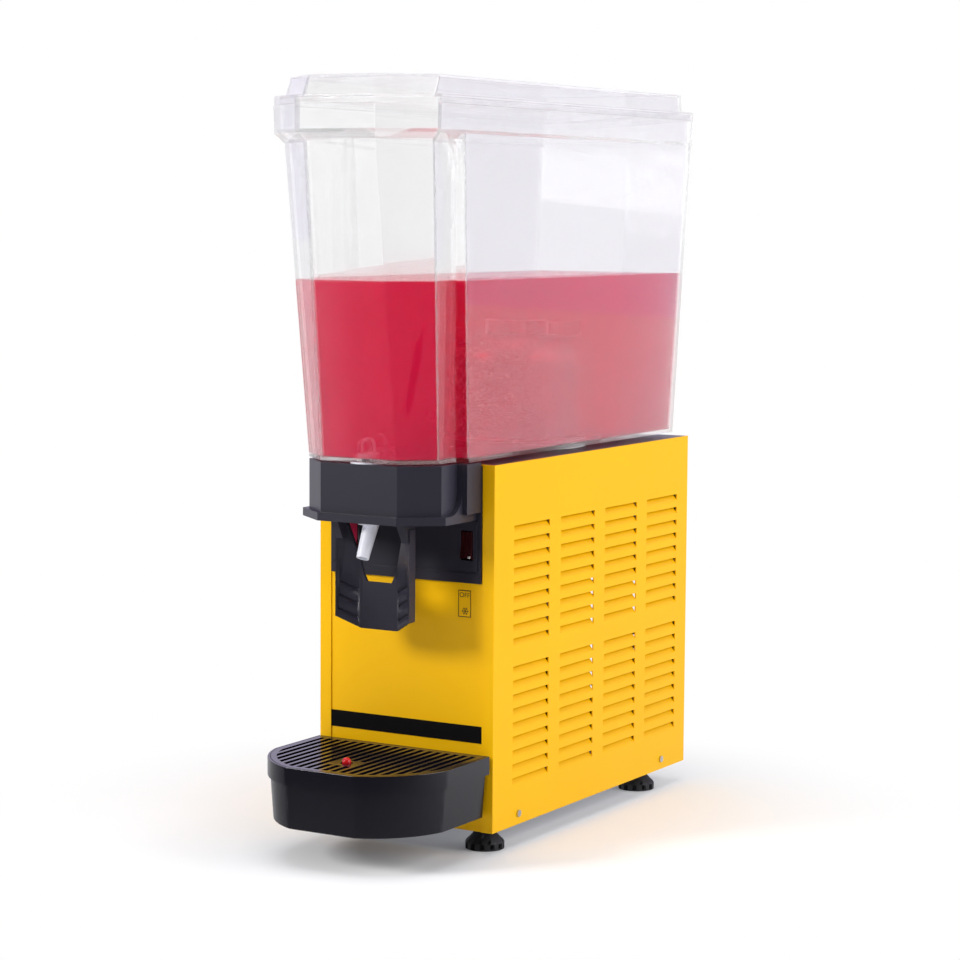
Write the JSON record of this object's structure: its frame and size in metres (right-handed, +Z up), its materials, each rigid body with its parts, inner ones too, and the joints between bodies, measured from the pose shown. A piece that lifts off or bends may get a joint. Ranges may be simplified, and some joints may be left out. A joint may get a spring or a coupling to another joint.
{
  "type": "cold drink dispenser",
  "caption": "Countertop cold drink dispenser with a clear bowl over a louvred yellow housing, a push lever tap and a drip tray.",
  "frame": {"origin": "on the floor, below the middle of the whole dispenser", "axes": "+Z up, -Y to the tap and the drip tray, +X to the right seen from the front"},
  "size_m": [0.1832, 0.5236, 0.6705],
  "materials": {
    "yellow_sheet": "satin",
    "black_plastic": "satin",
    "clear_plastic": "clear, slightly cool polycarbonate",
    "white_plastic": "smooth",
    "red_lens": "translucent red",
    "rubber_black": "matt",
    "silicone": "translucent white",
    "stainless": "brushed",
    "zinc_steel": "zinc plated",
    "copper": "drawn copper",
    "aluminium_fins": "finned",
    "compressor_black": "black enamel",
    "label_film": "printed film"
  },
  "bodies": {
    "housing": {"base_pan": "zinc_steel", "left_side_panel": "yellow_sheet", "right_side_panel": "yellow_sheet", "front_panel": "yellow_sheet", "rear_panel": "zinc_steel", "deck": "black_plastic", "side_screws": "stainless", "rear_panel_screws": "stainless", "cradle_screws": "stainless", "name_strip": "black_plastic", "switch_label": "label_film", "control_plate": "black_plastic", "left_switch_bezel": "black_plastic", "right_switch_bezel": "black_plastic", "bowl_cradle": "black_plastic", "cooling_dome": "stainless", "stirrer_motor": "zinc_steel", "stirrer_bracket": "zinc_steel", "tap_nozzle": "white_plastic", "lever_pivot_pins": "stainless", "lever_springs": "stainless", "condenser": "aluminium_fins", "fan_shroud": "zinc_steel", "fan_motor": "zinc_steel", "fan_bracket": "zinc_steel", "compressor": "compressor_black", "compressor_plate": "zinc_steel", "compressor_grommets": "rubber_black", "filter_drier": "copper", "hot_pipe": "copper", "liquid_pipe": "copper", "suction_pipe": "copper", "cord_gland": "rubber_black", "thermostat_body": "white_plastic"},
    "front_left_foot_body": {"front_left_foot": "rubber_black"},
    "front_right_foot_body": {"front_right_foot": "rubber_black"},
    "rear_left_foot_body": {"rear_left_foot": "rubber_black"},
    "rear_right_foot_body": {"rear_right_foot": "rubber_black"},
    "bowl": {"tank": "clear_plastic", "tank_gasket": "silicone", "spigot_seal": "silicone"},
    "bowl_lid": {"lid": "clear_plastic"},
    "plunger": {"valve_plunger": "white_plastic", "valve_seal": "silicone"},
    "lever": {"push_lever": "black_plastic"},
    "left_switch": {"left_rocker": "red_lens"},
    "right_switch": {"right_rocker": "red_lens"},
    "tray": {"drip_tray": "black_plastic"},
    "grid": {"drip_grid": "black_plastic"},
    "float": {"level_float": "red_lens"},
    "impeller": {"stirrer_impeller": "white_plastic"},
    "magnet": {"stirrer_magnet": "zinc_steel"},
    "fan": {"fan_blades": "black_plastic", "fan_shaft": "stainless"},
    "knob": {"thermostat_knob": "black_plastic"}
  },
  "joints": [
    {"name": "front_left_foot_turn", "type": "hinge", "parent": "housing", "child": "front_left_foot_body", "pos_m": [-0.0675, -0.10025, 0.0195], "axis": [0, 0, 1], "continuous": true},
    {"name": "front_right_foot_turn", "type": "hinge", "parent": "housing", "child": "front_right_foot_body", "pos_m": [0.0675, -0.10025, 0.0195], "axis": [0, 0, 1], "continuous": true},
    {"name": "rear_left_foot_turn", "type": "hinge", "parent": "housing", "child": "rear_left_foot_body", "pos_m": [-0.0675, 0.18925, 0.0195], "axis": [0, 0, 1], "continuous": true},
    {"name": "rear_right_foot_turn", "type": "hinge", "parent": "housing", "child": "rear_right_foot_body", "pos_m": [0.0675, 0.18925, 0.0195], "axis": [0, 0, 1], "continuous": true},
    {"name": "bowl_lift", "type": "slide", "parent": "housing", "child": "bowl", "axis": [0, 0, 1], "range_m": [0, 0.2]},
    {"name": "lid_lift", "type": "slide", "parent": "bowl", "child": "bowl_lid", "axis": [0, 0, 1], "range_m": [0, 0.15]},
    {"name": "plunger_lift", "type": "slide", "parent": "bowl", "child": "plunger", "axis": [0, 0, 1], "range_m": [0, 0.0031]},
    {"name": "lever_push", "type": "hinge", "parent": "housing", "child": "lever", "pos_m": [0, -0.19375, 0.3115], "axis": [1, 0, 0], "range_deg": [0, 18], "stiffness_Nm_per_rad": 0.6, "springref_deg": -11.46},
    {"name": "left_switch_rock", "type": "hinge", "parent": "housing", "child": "left_switch", "pos_m": [-0.0545, -0.12535, 0.2705], "axis": [1, 0, 0], "range_deg": [0, 14]},
    {"name": "right_switch_rock", "type": "hinge", "parent": "housing", "child": "right_switch", "pos_m": [0.0641, -0.12535, 0.2705], "axis": [1, 0, 0], "range_deg": [0, 14]},
    {"name": "tray_pull", "type": "slide", "parent": "housing", "child": "tray", "axis": [0, -1, 0], "range_m": [0, 0.2]},
    {"name": "grid_lift", "type": "slide", "parent": "tray", "child": "grid", "axis": [0, 0, 1], "range_m": [0, 0.1]},
    {"name": "float_rise", "type": "slide", "parent": "tray", "child": "float", "axis": [0, 0, 1], "range_m": [0, 0.015]},
    {"name": "impeller_spin", "type": "hinge", "parent": "housing", "child": "impeller", "pos_m": [0, 0.06425, 0.4495], "axis": [0, 0, 1], "continuous": true},
    {"name": "magnet_spin", "type": "hinge", "parent": "housing", "child": "magnet", "pos_m": [0, 0.06425, 0.4195], "axis": [0, 0, 1], "continuous": true},
    {"name": "fan_spin", "type": "hinge", "parent": "housing", "child": "fan", "pos_m": [0, -0.06575, 0.1095], "axis": [0, 1, 0], "continuous": true},
    {"name": "knob_turn", "type": "hinge", "parent": "housing", "child": "knob", "pos_m": [0.05, 0.24625, 0.2695], "axis": [0, 1, 0], "range_deg": [0, 270]}
  ],
  "couplings": [
    {"joint": "plunger_lift", "follows": "lever_push", "m_per_rad": 0.0098},
    {"joint": "impeller_spin", "follows": "magnet_spin", "ratio": 1}
  ]
}
